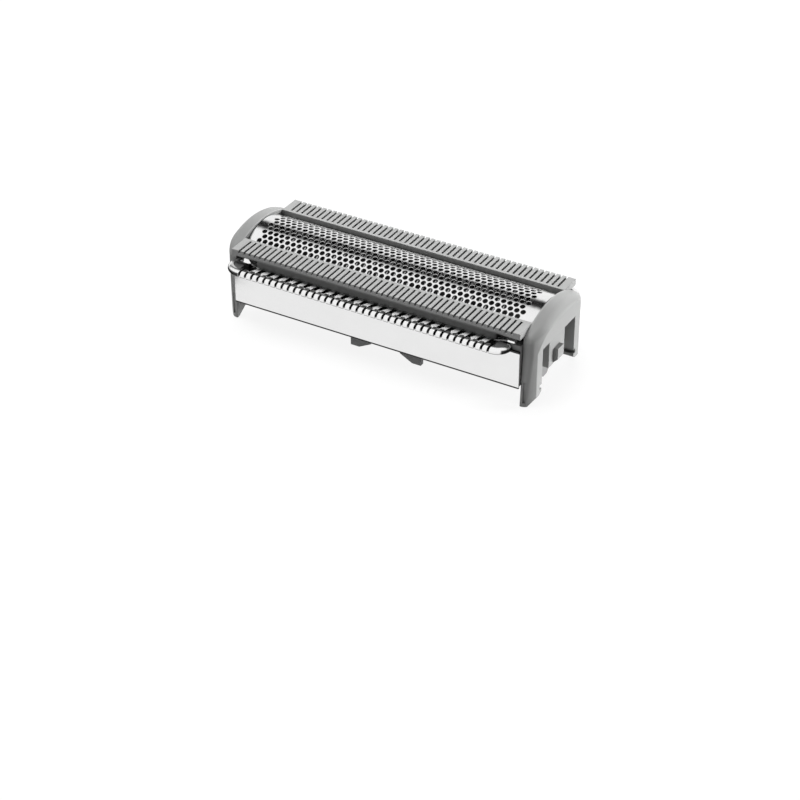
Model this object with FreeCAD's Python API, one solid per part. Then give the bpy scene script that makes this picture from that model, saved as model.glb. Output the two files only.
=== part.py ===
import FreeCAD, Part
import math
import os

V = FreeCAD.Vector

# The head of a body shaver: an arched foil between two ribbed bars, a comb-type
# trimmer along each long side, and a cutter block that the handle drives from below.
# X runs along the head, Z is up, and Z = 0 is the plane of the four leg tips.

# Moulded frame: end cheeks and ribbed bars
HEAD_L = 55.3           # over the outer faces of the cheeks, at their crowns
HEAD_W = 16.0           # over the front and rear faces of the cheeks
CHEEK_T = 2.65          # thickness of a cheek at its crown
CHEEK_CORNER_R = 5.0    # plan radius of the outer corners
CHEEK_FLAT_W = 8.9      # flat part of the outer face, between the corners
CROWN_R = 14.5          # side-view radius of the crown
CROWN_EDGE_R = 1.2      # rounding of the crown's outer edge
SHOULDER_R = 1.4        # rounding where the crown turns down
CROWN_STEP = 0.11       # crown above the crest of the foil
BAR_GAP = 10.6          # opening between the bars, for the foil
BAR_W = 3.85
BAR_T = 1.0
BAR_DROP = 0.95         # top of the bars below the crest of the foil
WEB_ROOT = 0.4          # depth that the webs run into the cheeks
BAR_WEB_W = 0.55        # stiffening web under each bar
BAR_WEB_H = 0.9
SKIRT_T = 0.5           # skirt that closes the space between bar and blade
SKIRT_SET = 0.55        # skirt's face behind the bar's outer edge
GROOVE_PITCH = 0.944
GROOVE_END = 1.4        # first groove's middle from the cheek
GROOVE_W = 0.34
GROOVE_DEPTH = 0.45
GROOVE_INSET = 0.5      # land between the groove and the bar's inner edge

# Legs, slots and sprung catch of each cheek
LEG_W = 2.65            # leg along Y
LEG_FLARE = 0.5         # leg's front face at its tip, out from the cheek's front face
LEG_SET_BACK = 0.7      # outer face of the legs behind the end of the crown
LEG_LEAN_TOP = 12.2     # height from which the outer face leans back to the legs
LEG_TIP = 0.5           # flat tip of a leg; the rest of its end is sloped
LEG_SLOPE_H = 1.6
LEG_LEAD = 0.9          # outward taper of the leg's end
LEG_LEAD_H = 1.2
SLOT_W = 2.8            # slot between leg and tongue
SLOT_TOP = 8.8
TONGUE_BOTTOM = 3.9
TONGUE_T = 1.0
TONGUE_RECESS = 0.33    # tongue's face behind the legs' outer face
CATCH_W = 1.9
CATCH_H = 2.05
CATCH_Z = 4.5
CATCH_OUT = 0.7         # catch stands out from the tongue
NOTCH_H = 0.7
NOTCH_DEPTH = 0.6
NOTCH_Z = 2.1
LEG_GROOVE_X = 0.4      # groove in the leg's front, from the leg's inner face
LEG_GROOVE_W = 0.4
LEG_GROOVE_DEPTH = 0.35
LEG_GROOVE_Z0 = 0.6
LEG_GROOVE_Z1 = 4.2

# Foil
FOIL_TOP = 13.75
FOIL_R = 8.0
FOIL_T = 0.15
FOIL_W = 12.6           # over the skirts
FOIL_SKIRT = 1.9        # straight skirt below the arch
FOIL_END_GAP = 0.15
HOLE_PITCH = 3.1
HOLE_FLATS = 2.5        # across the flats of a hole
HOLE_END_LAND = 2.35    # blank end of the foil, to the middle of a hole
HOLE_FIELD_W = 10.8     # over the middles of the outer rows at most, measured flat
TAB_L = 1.6             # tabs that hold the skirts
TAB_H = 0.8
TAB_SPACING = 16.0
TAB_OUT = 0.2           # tab stands out from the foil's skirt

# Holder inside the foil
HOLDER_RAIL_T = 0.6
HOLDER_END_T = 1.4
HOLDER_BOTTOM = 7.8

# Trimmer guards, folded from sheet
GUARD_T = 0.25
PLATE_GAP = 17.3        # between the inner faces of the two front plates
PLATE_BOTTOM = 3.2
HEM_Z = 9.3             # underside of the folded comb
HEM_H = 1.1
HEM_OUT = 2.3           # comb stands out from its plate
HEM_FAR_OUT = 1.0       # comb's far end beyond the cheek's inner face
HEM_NEAR_IN = 1.4       # comb's near end short of the other cheek
HEM_CORNER_R = 2.45
NOSE = 0.4              # bevel of the folded edge
FINGER_L = 1.25
FINGER_PITCH = 1.11
FINGER_SHIFT = -0.85    # middle of the row of fingers, and of the blade behind it
FINGER_GAP_W = 0.42
FINGER_SLANT = 0.2      # gaps lean along the head by this share of their depth
FINGER_LAND = 0.55      # least uncut length between the last gap and the end of the blade's room

# Trimmer blades and their sliders
BLADE_T = 0.4
BLADE_OVER = 0.1        # blade's inner edge beyond its slider's
BLADE_TIP_GAP = 0.25    # teeth behind the inside of the fold
TOOTH_PITCHES = 1.5     # tooth pitch over finger pitch
TOOTH_L = 2.25
TOOTH_ROOT_W = 0.8
TOOTH_TIP_W = 1.15
TOOTH_SLANT = 0.35      # teeth lean more than the gaps of the comb, to shear
STROKE = 1.0            # travel to each side of the middle
SLIDER_INSET = 1.0      # slider shorter than its blade at each end
SLIDER_T = 0.8
SLIDER_HEAD_W = 1.2
SLIDER_HEAD_H = 0.5
FORK_L = 12.3
FORK_SHIFT = 2.05       # fork's middle from the middle of the head
FORK_BOTTOM = 1.65
FORK_TAB = 1.5          # flat end of each tab
FORK_SLOPE = 2.1        # run of the slanted lead-in
FORK_SLOPE_H = 1.1
FORK_ARCH_TOP = 4.8
PEG_L = 0.9
PEG_W = 0.6
PEG_SPACING = 15.0
SPRING_STRIP_T = 0.2
SPRING_STRIP_W = 1.0
SPRING_END_GAP = 1.0    # strip's end short of the chassis end
SPRING_END_L = 1.5
SPRING_BEND_L = 1.6

# Chassis under the cutter
CHASSIS_BOTTOM = 3.5
CHASSIS_WALL_T = 0.7
CHASSIS_WALL_TOP = 9.0
CHASSIS_END_T = 2.0
LUG_W = 2.8             # lug below each end of the chassis
LUG_T = 1.2
LUG_BOTTOM = 0.7
LUG_CORNER = 0.8
RUNNER_W = 0.9
RUNNER_H = 0.6
RUNNER_TOP = 5.1
POST_L = 1.8            # corner posts that carry the blade springs
POST_W = 1.4

# Cutter: bridge, beam, lamellae, bow springs
BRIDGE_T = 1.2
BRIDGE_LAP = 0.5        # bridge over its runners
BRIDGE_END_GAP = 1.3
BRIDGE_WINDOW_EDGE = 1.6
BRIDGE_WINDOW_W = 7.0
SOCKET_L = 5.2
SOCKET_W = 7.2
SOCKET_BOTTOM = 2.8
SOCKET_SLOT_L = 3.0
SOCKET_SLOT_W = 5.0
SOCKET_SLOT_TOP = 6.0
SOCKET_LEAD = 0.5
PIN_R = 0.9
PIN_X = 13.0
BEAM_END_GAP = 1.4      # beam's end short of the foil holder, at the end of its travel
BEAM_W = 9.2
BEAM_T = 1.2
BEAM_Z = 8.5
FLOAT = 0.6             # travel of the cutter against its springs
LAMELLA_PITCH = 5.25
LAMELLA_LAND = 1.5      # least bare length of the beam beyond the last lamella
LAMELLA_T = 0.25
LAMELLA_W = 10.6
LAMELLA_LEG = 0.9       # lamella's legs beside the beam
LAMELLA_CROWN = 1.7     # height of solid metal under the crest
LAMELLA_FOOT = 1.2
LAMELLA_BAY_TOP = 4.8
BOW_L = 8.0             # bow springs under the beam
BOW_W = 3.0
BOW_T = 0.2
BOW_FOOT = 1.4
BOW_CREST = 2.0
BOW_X = 6.8             # middle of each bow from the middle of the head

# Clearances
FIT = 0.05              # between pieces that seat on each other
RUN = 0.1               # between flat faces that slide
SHEAR = 0.08            # lamellae under the foil
PIN_GAP = 0.2           # pins in their bores
SIDE_GAP = 0.25         # skirts and stakes from the walls beside them
SKIRT_GAP = 0.15        # bar's skirt above the blade's spring

# Places that follow from the sizes above
END_X = HEAD_L / 2
CHEEK_X = END_X - CHEEK_T
HALF_W = HEAD_W / 2
LEG_X = END_X - LEG_SET_BACK
TONGUE_X = LEG_X - TONGUE_RECESS
CROWN_TOP = FOIL_TOP + CROWN_STEP
BAR_TOP = FOIL_TOP - BAR_DROP
BAR_IN = BAR_GAP / 2
BAR_OUT = BAR_IN + BAR_W
BAR_BOTTOM = BAR_TOP - BAR_T
LEG_Y = HALF_W - LEG_W
TONGUE_Y = LEG_Y - SLOT_W
TIP_Y = HALF_W + LEG_FLARE
AXIS_Z = FOIL_TOP - FOIL_R
FOIL_Y = FOIL_W / 2
FOIL_X = CHEEK_X - FOIL_END_GAP
HOLDER_Y = FOIL_Y - FOIL_T - FIT
PLATE_IN = PLATE_GAP / 2
PLATE_OUT = PLATE_IN + GUARD_T
HEM_Y = PLATE_OUT + HEM_OUT
HEM_TOP = HEM_Z + HEM_H
BLADE_Z = HEM_Z + GUARD_T + (HEM_H - 2 * GUARD_T - BLADE_T) / 2
BLADE_TOP = BLADE_Z + BLADE_T
SPRING_LOW = BLADE_TOP + FIT
SPRING_HIGH = HEM_TOP + 0.15
SKIRT_BOTTOM = SPRING_LOW + SPRING_STRIP_T + SKIRT_GAP
SLIDER_OUT = PLATE_IN - FIT - RUN
SLIDER_IN = SLIDER_OUT - SLIDER_HEAD_W
BLADE_INNER = SLIDER_IN - BLADE_OVER
CHASSIS_X = CHEEK_X - RUN
WALL_IN = FOIL_Y + TAB_OUT + SIDE_GAP + FIT
WALL_OUT = WALL_IN + CHASSIS_WALL_T
CHASSIS_Y = PLATE_IN - FIT
CHASSIS_END_X = CHASSIS_X - CHASSIS_END_T
POST_X = CHASSIS_X - POST_L
SPRING_X = CHASSIS_X - SPRING_END_GAP
SKIRT_X = SPRING_X - SPRING_END_L - SPRING_BEND_L
ROOM_HALF = POST_X - abs(FINGER_SHIFT)
BLADE_L = 2 * (ROOM_HALF - STROKE - SIDE_GAP)
SLIDER_L = BLADE_L - 2 * SLIDER_INSET
PLATE_X = CHEEK_X - RUN
HEM_X0 = -CHEEK_X - HEM_FAR_OUT
HEM_X1 = CHEEK_X - HEM_NEAR_IN
FINGER_GAPS = int(2 * (ROOM_HALF - FINGER_LAND) / FINGER_PITCH) + 1
HOLE_FIELD_X = FOIL_X - HOLE_END_LAND
BEAM_L = 2 * (FOIL_X - FIT - HOLDER_END_T - STROKE - BEAM_END_GAP)
LAMELLA_N = int((BEAM_L - 2 * LAMELLA_LAND) / LAMELLA_PITCH) + 1
BRIDGE_Z = RUNNER_TOP + RUN
BRIDGE_TOP = BRIDGE_Z + BRIDGE_T
BRIDGE_X = CHASSIS_END_X - BRIDGE_END_GAP
BEAM_TOP = BEAM_Z + BEAM_T
LAMELLA_R = FOIL_R - FOIL_T - SHEAR


def box(x0, x1, y0, y1, z0, z1):
    """Block between two corners."""
    return Part.makeBox(x1 - x0, y1 - y0, z1 - z0, V(x0, y0, z0))


def prism(points, direction):
    """Flat outline of straight edges, extruded."""
    wire = Part.makePolygon([V(*p) for p in points + points[:1]])
    return Part.Face(wire).extrude(direction)


def along_x(edges, x0, length):
    """Outline in the YZ plane, extruded along X from x0."""
    solid = Part.Face(Part.Wire(edges)).extrude(V(length, 0, 0))
    solid.translate(V(x0, 0, 0))
    return solid


def line(a, b):
    return Part.makeLine(V(0, *a), V(0, *b))


def arc(a, mid, b):
    return Part.Arc(V(0, *a), V(0, *mid), V(0, *b)).toShape()


def arch_z(radius, y):
    """Height of a circle about the foil's axis at the distance y."""
    return AXIS_Z + math.sqrt(radius ** 2 - y ** 2)


def turned(shape):
    """Same piece at the opposite side, turned half round the Z axis."""
    other = shape.copy()
    other.rotate(V(0, 0, 0), V(0, 0, 1), 180)
    return other


def mirrored(shape, normal):
    return shape.mirror(V(0, 0, 0), normal)


def cut_all(solid, tools):
    return solid.cut(Part.makeCompound(tools)) if tools else solid


def fuse_all(solid, others):
    return solid.multiFuse(others).removeSplitter()


def cheek_side_view():
    """Side outline of a cheek: legs that flare to their tips, round shoulders and the arched crown."""
    centre_z = CROWN_TOP - CROWN_R
    sy = HALF_W - SHOULDER_R
    sz = centre_z + math.sqrt((CROWN_R - SHOULDER_R) ** 2 - sy ** 2)
    lean = math.atan2(sy, sz - centre_z)
    touch = (CROWN_R * math.sin(lean), centre_z + CROWN_R * math.cos(lean))
    half = math.radians(45) + lean / 2
    mid = (sy + SHOULDER_R * math.sin(half), sz + SHOULDER_R * math.cos(half))
    left = [(-y, z) for y, z in (touch, mid)]
    return [
        line((-TIP_Y, 0), (-HALF_W, SLOT_TOP)),
        line((-HALF_W, SLOT_TOP), (-HALF_W, sz)),
        arc((-HALF_W, sz), left[1], left[0]),
        arc(left[0], (0, CROWN_TOP), touch),
        arc(touch, mid, (HALF_W, sz)),
        line((HALF_W, sz), (HALF_W, SLOT_TOP)),
        line((HALF_W, SLOT_TOP), (TIP_Y, 0)),
        line((TIP_Y, 0), (-TIP_Y, 0)),
    ]


def cheek_blank():
    """Solid cheek at the right end, rounded in plan and over its outer edge."""
    depth = CHEEK_CORNER_R + 0.5
    x0 = END_X - depth
    body = along_x(cheek_side_view(), x0, depth)
    flat = CHEEK_FLAT_W / 2
    reach = flat + CHEEK_CORNER_R + 0.01
    post = box(x0, END_X, -reach, reach, -0.01, CROWN_TOP + 1)
    corners = [e for e in post.Edges
               if abs(e.CenterOfMass.x - END_X) < 1e-6 and abs(abs(e.CenterOfMass.y) - reach) < 1e-6]
    body = body.common(post.makeFillet(CHEEK_CORNER_R, corners))
    rims = [e for e in body.Edges
            if e.BoundBox.XMin > x0 + 1 and e.BoundBox.YLength > 0.01 and e.BoundBox.ZMax > SLOT_TOP]
    sides = [e for e in body.Edges
             if e.BoundBox.XMin > x0 + 1 and e.BoundBox.YLength < 2 * LEG_FLARE and e.BoundBox.ZLength > 1]
    edges = {e.hashCode(): e for e in rims + sides}
    body = body.makeFillet(CROWN_EDGE_R, list(edges.values()))
    return body.common(box(CHEEK_X, END_X + 1, -TIP_Y - 1, TIP_Y + 1, -1, CROWN_TOP + 1))


def leg_cuts():
    """Space to clear round the legs and the tongue, at the right end."""
    x0 = CHEEK_X - 1
    x1 = END_X + 1
    wide = TIP_Y + 1
    lean = [(LEG_X, -wide, -1), (LEG_X, -wide, SLOT_TOP), (END_X, -wide, LEG_LEAN_TOP),
            (x1, -wide, LEG_LEAN_TOP), (x1, -wide, -1)]
    lead = [(LEG_X - LEG_LEAD, -wide, -0.01), (LEG_X - LEG_LEAD, -wide, 0), (LEG_X, -wide, LEG_LEAD_H),
            (x1, -wide, LEG_LEAD_H), (x1, -wide, -0.01)]
    cuts = [
        prism(lean, V(0, 2 * wide, 0)),
        prism(lead, V(0, 2 * wide, 0)),
        box(x0, x1, -LEG_Y, LEG_Y, -1, TONGUE_BOTTOM),
        box(TONGUE_X, x1, -TONGUE_Y - 0.01, TONGUE_Y + 0.01, -1, SLOT_TOP),
        box(x0, TONGUE_X - TONGUE_T, -LEG_Y, LEG_Y, -1, SLOT_TOP),
    ]
    for side in (-1, 1):
        y0, y1 = sorted((side * TONGUE_Y, side * LEG_Y))
        cuts.append(box(x0, x1, y0, y1, -1, SLOT_TOP))
        inner = side * LEG_Y
        tip = side * (TIP_Y - LEG_TIP)
        cuts.append(prism([(x0, tip, -0.01), (x0, tip, 0), (x0, inner, LEG_SLOPE_H),
                           (x0, inner - side * 0.1, LEG_SLOPE_H), (x0, inner - side * 0.1, -0.01)],
                          V(x1 - x0, 0, 0)))
        y0, y1 = sorted((inner, inner + side * NOTCH_DEPTH))
        cuts.append(box(x0, x1, y0, y1, NOTCH_Z, NOTCH_Z + NOTCH_H))
        gx = CHEEK_X + LEG_GROOVE_X
        y0, y1 = sorted((side * (TIP_Y - LEG_GROOVE_DEPTH), side * wide))
        cuts.append(box(gx, gx + LEG_GROOVE_W, y0, y1, LEG_GROOVE_Z0, LEG_GROOVE_Z1))
    return cuts


def catch():
    """Catch that stands out from the tongue, with a sloped underside."""
    x0 = TONGUE_X - 0.05
    x1 = TONGUE_X + CATCH_OUT
    return prism([
        (x0, -CATCH_W / 2, CATCH_Z - 0.5),
        (x1, -CATCH_W / 2, CATCH_Z + 0.2),
        (x1, -CATCH_W / 2, CATCH_Z + CATCH_H),
        (x0, -CATCH_W / 2, CATCH_Z + CATCH_H),
    ], V(0, CATCH_W, 0))


def cheek():
    body = cut_all(cheek_blank(), leg_cuts())
    return body.fuse(catch())


def bar():
    """Front bar with its web; the ribs are left standing between open grooves."""
    body = box(-CHEEK_X, CHEEK_X, -BAR_OUT, -BAR_IN, BAR_BOTTOM, BAR_TOP)
    web_x = CHEEK_X + WEB_ROOT
    web = box(-web_x, web_x, -WALL_IN - BAR_WEB_W, -WALL_IN, BAR_BOTTOM - BAR_WEB_H, BAR_BOTTOM + 0.1)
    skirt_y = -BAR_OUT + SKIRT_SET
    skirt = box(-SKIRT_X, SKIRT_X, skirt_y, skirt_y + SKIRT_T, SKIRT_BOTTOM, BAR_BOTTOM + 0.1)
    body = body.multiFuse([web, skirt])
    count = int(round(2 * (CHEEK_X - GROOVE_END) / GROOVE_PITCH)) + 1
    grooves = []
    for i in range(count):
        x = (i - (count - 1) / 2) * GROOVE_PITCH
        grooves.append(box(x - GROOVE_W / 2, x + GROOVE_W / 2, -BAR_OUT - 1,
                           -BAR_IN - GROOVE_INSET, BAR_TOP - GROOVE_DEPTH, BAR_TOP + 1))
    return cut_all(body, grooves)


def head_frame():
    right = cheek()
    front = bar()
    return fuse_all(right, [mirrored(right, V(1, 0, 0)), front, mirrored(front, V(0, 1, 0))])


def foil_outline(radius, half_width, bottom):
    """Arch with straight sides, as a list of edges without its lower line."""
    shoulder = arch_z(radius, half_width)
    return [
        line((-half_width, bottom), (-half_width, shoulder)),
        arc((-half_width, shoulder), (0, AXIS_Z + radius), (half_width, shoulder)),
        line((half_width, shoulder), (half_width, bottom)),
    ]


def foil_holes():
    """Hexagonal holes in staggered rows, square to the arched skin."""
    row_step = HOLE_PITCH * math.sqrt(3) / 2
    rows = int(HOLE_FIELD_W / 2 / row_step)
    corner = HOLE_FLATS / math.sqrt(3)
    holes = []
    for j in range(-rows, rows + 1):
        shift = 0 if j % 2 == 0 else HOLE_PITCH / 2
        count = int((HOLE_FIELD_X - shift) / HOLE_PITCH)
        first = -count if j % 2 == 0 else -count - 1
        tilt = math.degrees(j * row_step / FOIL_R)
        for i in range(first, count + 1):
            x = i * HOLE_PITCH + shift
            ring = []
            for k in range(6):
                a = math.radians(60 * k)
                ring.append((x + corner * math.cos(a), corner * math.sin(a), FOIL_R - 0.5))
            hole = prism(ring, V(0, 0, 1))
            hole.rotate(V(0, 0, 0), V(1, 0, 0), -tilt)
            hole.translate(V(0, 0, AXIS_Z))
            holes.append(hole)
    return holes


def skirt_tabs(grow, y0, y1):
    """Oblong tabs through both skirts of the foil."""
    z = HOLDER_BOTTOM + (arch_z(FOIL_R, FOIL_Y) - HOLDER_BOTTOM) / 2
    half_l = TAB_L / 2 + grow
    half_h = TAB_H / 2 + grow
    tabs = []
    for x in (-TAB_SPACING, 0, TAB_SPACING):
        for ya, yb in ((y0, y1), (-y1, -y0)):
            tabs.append(box(x - half_l, x + half_l, ya, yb, z - half_h, z + half_h))
    return tabs


def foil():
    bottom = arch_z(FOIL_R, FOIL_Y) - FOIL_SKIRT
    outer = foil_outline(FOIL_R, FOIL_Y, bottom)
    inner = foil_outline(FOIL_R - FOIL_T, FOIL_Y - FOIL_T, bottom)
    feet = [line((-FOIL_Y, bottom), (-FOIL_Y + FOIL_T, bottom)),
            line((FOIL_Y - FOIL_T, bottom), (FOIL_Y, bottom))]
    skin = along_x([feet[0]] + inner + [feet[1]] + outer[::-1], -FOIL_X, 2 * FOIL_X)
    skin = cut_all(skin, foil_holes())
    return cut_all(skin, skirt_tabs(FIT, HOLDER_Y - 1, FOIL_Y + 1))


def foil_holder():
    """Open frame inside the foil, with arched ends and tabs for the skirts."""
    radius = FOIL_R - FOIL_T - FIT
    top = arch_z(FOIL_R - FOIL_T, HOLDER_Y) - 2 * FIT
    end = foil_outline(radius, HOLDER_Y, HOLDER_BOTTOM)
    end.append(line((HOLDER_Y, HOLDER_BOTTOM), (-HOLDER_Y, HOLDER_BOTTOM)))
    x1 = FOIL_X - FIT
    x0 = x1 - HOLDER_END_T
    right = along_x(end, x0, HOLDER_END_T)
    rail = box(-x1 + 0.5, x1 - 0.5, HOLDER_Y - HOLDER_RAIL_T, HOLDER_Y, HOLDER_BOTTOM, top)
    tabs = skirt_tabs(0, HOLDER_Y - 0.1, FOIL_Y + TAB_OUT)
    return fuse_all(right, [mirrored(right, V(1, 0, 0)), rail, mirrored(rail, V(0, 1, 0))] + tabs)


def hem_blank():
    """Tongue-shaped block of the folded comb."""
    block = box(HEM_X0, HEM_X1, -HEM_Y, -PLATE_IN, HEM_Z, HEM_TOP)
    corners = [e for e in block.Edges
               if e.BoundBox.ZLength > HEM_H / 2 and e.CenterOfMass.y < -HEM_Y + 0.01]
    return block.makeFillet(HEM_CORNER_R, corners)


def finger_gaps():
    """Slanted gaps through the folded edge and the flap, down to the ledge under the blade."""
    half = FINGER_GAP_W / 2
    depth = FINGER_L + 0.5
    z0 = HEM_Z + GUARD_T
    gaps = []
    for i in range(FINGER_GAPS):
        x = FINGER_SHIFT + (i - (FINGER_GAPS - 1) / 2) * FINGER_PITCH
        outer = x - FINGER_SLANT
        inner = x + FINGER_SLANT * depth
        gaps.append(prism([(outer - half, -HEM_Y - 1, z0), (outer + half, -HEM_Y - 1, z0),
                           (inner + half, -HEM_Y + depth, z0), (inner - half, -HEM_Y + depth, z0)],
                          V(0, 0, HEM_H)))
    return gaps


def front_guard():
    """Plate with a ledge that is folded back over the blade as comb fingers."""
    plate = box(-PLATE_X, PLATE_X, -PLATE_OUT, -PLATE_IN, PLATE_BOTTOM, HEM_Z + GUARD_T)
    hem = hem_blank()
    nose = [e for e in hem.Edges
            if abs(e.CenterOfMass.z - HEM_TOP) < 1e-6 and e.BoundBox.YMin < -PLATE_OUT - 0.1]
    hem = hem.makeChamfer(NOSE, nose)
    x0 = FINGER_SHIFT - ROOM_HALF
    x1 = FINGER_SHIFT + ROOM_HALF
    cavity = box(x0, x1, -HEM_Y + GUARD_T, -PLATE_IN + 1, HEM_Z + GUARD_T, HEM_TOP - GUARD_T)
    lid = box(x0, x1, -HEM_Y + FINGER_L, -PLATE_IN + 1, HEM_Z + GUARD_T, HEM_TOP + 1)
    hem = cut_all(hem, [cavity, lid])
    return cut_all(fuse_all(plate, [hem]), finger_gaps()).removeSplitter()


def blade_outline():
    """Comb blade: a strip with slanted teeth along its outer edge, wider at their tips."""
    tip = -(HEM_Y - GUARD_T - BLADE_TIP_GAP)
    root = tip + TOOTH_L
    pitch = FINGER_PITCH * TOOTH_PITCHES
    count = int(BLADE_L / pitch)
    points = [(BLADE_L / 2, -BLADE_INNER), (-BLADE_L / 2, -BLADE_INNER), (-BLADE_L / 2, root)]
    lean = TOOTH_SLANT * TOOTH_L / 2
    for i in range(count):
        x = (i - (count - 1) / 2) * pitch
        points += [(x + lean - TOOTH_ROOT_W / 2, root), (x - lean - TOOTH_TIP_W / 2, tip),
                   (x - lean + TOOTH_TIP_W / 2, tip), (x + lean + TOOTH_ROOT_W / 2, root)]
    points.append((BLADE_L / 2, root))
    return [(FINGER_SHIFT + x, y, BLADE_Z) for x, y in points]


def pegs(grow, z0, z1):
    """Square pegs that carry the blade on its slider."""
    y = (SLIDER_IN + SLIDER_OUT) / 2
    half_l = PEG_L / 2 + grow
    half_w = PEG_W / 2 + grow
    return [box(x - half_l, x + half_l, -y - half_w, -y + half_w, z0, z1)
            for x in (-PEG_SPACING, 0, PEG_SPACING)]


def front_blade():
    blade = prism(blade_outline(), V(0, 0, BLADE_T))
    return cut_all(blade, pegs(FIT, BLADE_Z - 1, BLADE_TOP + 1))


def front_slider():
    """Slider under the blade, with a two-tabbed fork behind the plate."""
    head = box(FINGER_SHIFT - SLIDER_L / 2, FINGER_SHIFT + SLIDER_L / 2, -SLIDER_OUT, -SLIDER_IN,
               BLADE_Z - SLIDER_HEAD_H, BLADE_Z)
    x0 = FORK_SHIFT - FORK_L / 2
    tab = x0 + FORK_TAB
    slope = tab + FORK_SLOPE
    z1 = FORK_BOTTOM + FORK_SLOPE_H
    left = [(x0, BLADE_Z - SLIDER_HEAD_H / 2), (x0, FORK_BOTTOM), (tab, FORK_BOTTOM),
            (slope, z1), (slope + 0.5, FORK_ARCH_TOP)]
    right = [(2 * FORK_SHIFT - x, z) for x, z in reversed(left)]
    outline = [(x, -SLIDER_OUT, z) for x, z in left + right]
    fork = prism(outline, V(0, SLIDER_T, 0))
    return fuse_all(head, [fork] + pegs(0, BLADE_Z - 0.1, BLADE_TOP))


def front_blade_spring():
    """Bent steel strip that bears on the blade and rests on the corner posts."""
    half = [(SPRING_X, SPRING_HIGH), (SPRING_X - SPRING_END_L, SPRING_HIGH), (SKIRT_X, SPRING_LOW)]
    top = half + [(-x, z) for x, z in reversed(half)]
    path = top + [(x, z + SPRING_STRIP_T) for x, z in reversed(top)]
    y0 = -SLIDER_OUT
    return prism([(x, y0, z) for x, z in path], V(0, SPRING_STRIP_W, 0))


def chassis():
    """Lower frame: long walls with runners, thick ends and corner posts."""
    ring = box(-CHASSIS_X, CHASSIS_X, -WALL_OUT, WALL_OUT, CHASSIS_BOTTOM, HOLDER_BOTTOM - FIT)
    ends = box(CHASSIS_END_X, CHASSIS_X, -CHASSIS_Y, CHASSIS_Y, CHASSIS_BOTTOM, HOLDER_BOTTOM - FIT)
    hollow = box(-CHASSIS_END_X, CHASSIS_END_X, -WALL_IN, WALL_IN, CHASSIS_BOTTOM - 1, HEM_TOP)
    wall = box(-CHASSIS_X, CHASSIS_X, -WALL_OUT, -WALL_IN, CHASSIS_BOTTOM, CHASSIS_WALL_TOP)
    runner = box(-CHASSIS_END_X - 0.1, CHASSIS_END_X + 0.1, -WALL_IN - 0.1, -WALL_IN + RUNNER_W,
                 RUNNER_TOP - RUNNER_H, RUNNER_TOP)
    post = box(POST_X, CHASSIS_X, -CHASSIS_Y, -CHASSIS_Y + POST_W,
               CHASSIS_BOTTOM, SPRING_HIGH - FIT)
    parts = [ends, mirrored(ends, V(1, 0, 0)), wall, mirrored(wall, V(0, 1, 0))]
    body = ring.cut(hollow)
    for y_side in (post, mirrored(post, V(0, 1, 0))):
        parts += [y_side, mirrored(y_side, V(1, 0, 0))]
    parts += [runner, mirrored(runner, V(0, 1, 0))]
    half = LUG_W / 2
    lug = prism([(CHASSIS_X - LUG_T, y, z) for y, z in (
        (-half, CHASSIS_BOTTOM + 0.1), (-half, LUG_BOTTOM + LUG_CORNER), (LUG_CORNER - half, LUG_BOTTOM),
        (half - LUG_CORNER, LUG_BOTTOM), (half, LUG_BOTTOM + LUG_CORNER), (half, CHASSIS_BOTTOM + 0.1))],
        V(LUG_T, 0, 0))
    parts += [lug, mirrored(lug, V(1, 0, 0))]
    return fuse_all(body, parts)


def cutter_bridge():
    """Carriage on the runners, with two spring pins and the drive socket."""
    half_w = WALL_IN - RUNNER_W + BRIDGE_LAP
    body = box(-BRIDGE_X, BRIDGE_X, -half_w, half_w, BRIDGE_Z, BRIDGE_TOP)
    boss = box(-SOCKET_L / 2, SOCKET_L / 2, -SOCKET_W / 2, SOCKET_W / 2, SOCKET_BOTTOM, BRIDGE_Z + 0.1)
    parts = [boss]
    for x in (-PIN_X, PIN_X):
        parts.append(Part.makeCylinder(PIN_R, BEAM_TOP - PIN_GAP - BRIDGE_TOP + 0.1,
                                       V(x, 0, BRIDGE_TOP - 0.1)))
    body = fuse_all(body, parts)
    slot = box(-SOCKET_SLOT_L / 2, SOCKET_SLOT_L / 2, -SOCKET_SLOT_W / 2, SOCKET_SLOT_W / 2,
               SOCKET_BOTTOM - 1, SOCKET_SLOT_TOP)
    x = SOCKET_SLOT_L / 2
    y = SOCKET_SLOT_W / 2
    lead = prism([(-x - SOCKET_LEAD, -y, SOCKET_BOTTOM - 0.001), (x + SOCKET_LEAD, -y, SOCKET_BOTTOM - 0.001),
                  (x, -y, SOCKET_BOTTOM + SOCKET_LEAD), (-x, -y, SOCKET_BOTTOM + SOCKET_LEAD)], V(0, 2 * y, 0))
    outer = BRIDGE_X - BRIDGE_WINDOW_EDGE
    inner = PIN_X + PIN_R + BRIDGE_WINDOW_EDGE
    windows = [box(min(a, b), max(a, b), -BRIDGE_WINDOW_W / 2, BRIDGE_WINDOW_W / 2,
                   BRIDGE_Z - 1, BRIDGE_TOP + 1) for a, b in ((inner, outer), (-inner, -outer))]
    return cut_all(body, [slot, lead] + windows)


def cutter_beam():
    body = box(-BEAM_L / 2, BEAM_L / 2, -BEAM_W / 2, BEAM_W / 2, BEAM_Z, BEAM_TOP)
    bores = [Part.makeCylinder(PIN_R + PIN_GAP, BEAM_T + 2, V(x, 0, BEAM_Z - 1)) for x in (-PIN_X, PIN_X)]
    return cut_all(body, bores)


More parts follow.
